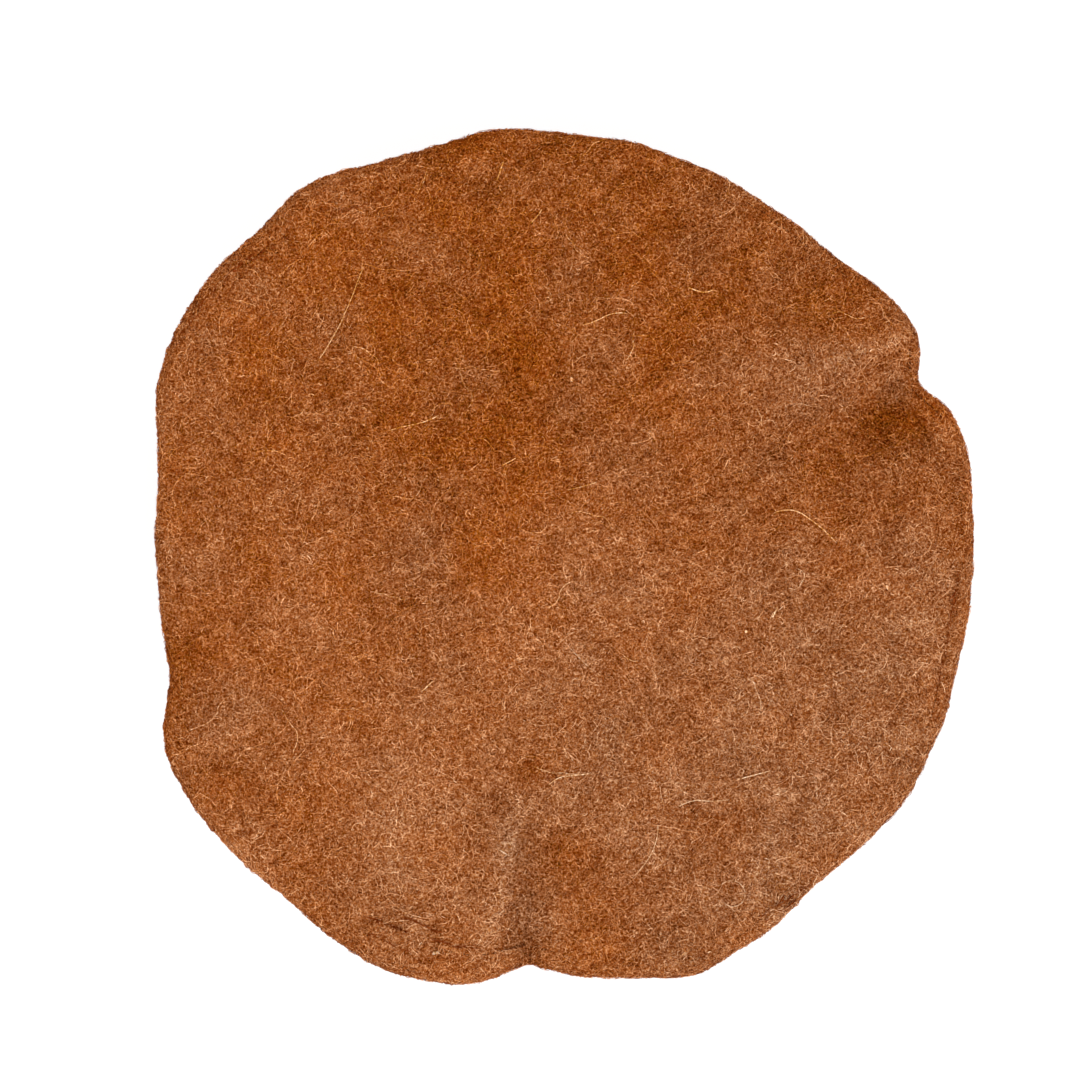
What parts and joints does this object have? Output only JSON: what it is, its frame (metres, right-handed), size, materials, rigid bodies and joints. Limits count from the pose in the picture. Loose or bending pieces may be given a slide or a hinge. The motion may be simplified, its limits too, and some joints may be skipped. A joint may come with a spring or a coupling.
{
  "type": "pakol",
  "caption": "Soft round cap of felted wool: a nearly flat crown with a soft edge over a side band that is rolled up into a thick brim.",
  "frame": {"origin": "on the surface that the cap rests on, under the middle of its outline from above", "axes": "+Z up through the crown, +Y the longer way across the crown, +X to the right as seen from above with +Y up"},
  "size_m": [0.2448, 0.2556, 0.075],
  "materials": {
    "wool_felt": "dense, short-haired felted wool in a mottled reddish brown"
  },
  "bodies": {
    "root": {"crown": "wool_felt", "side_band": "wool_felt"}
  },
  "joints": []
}
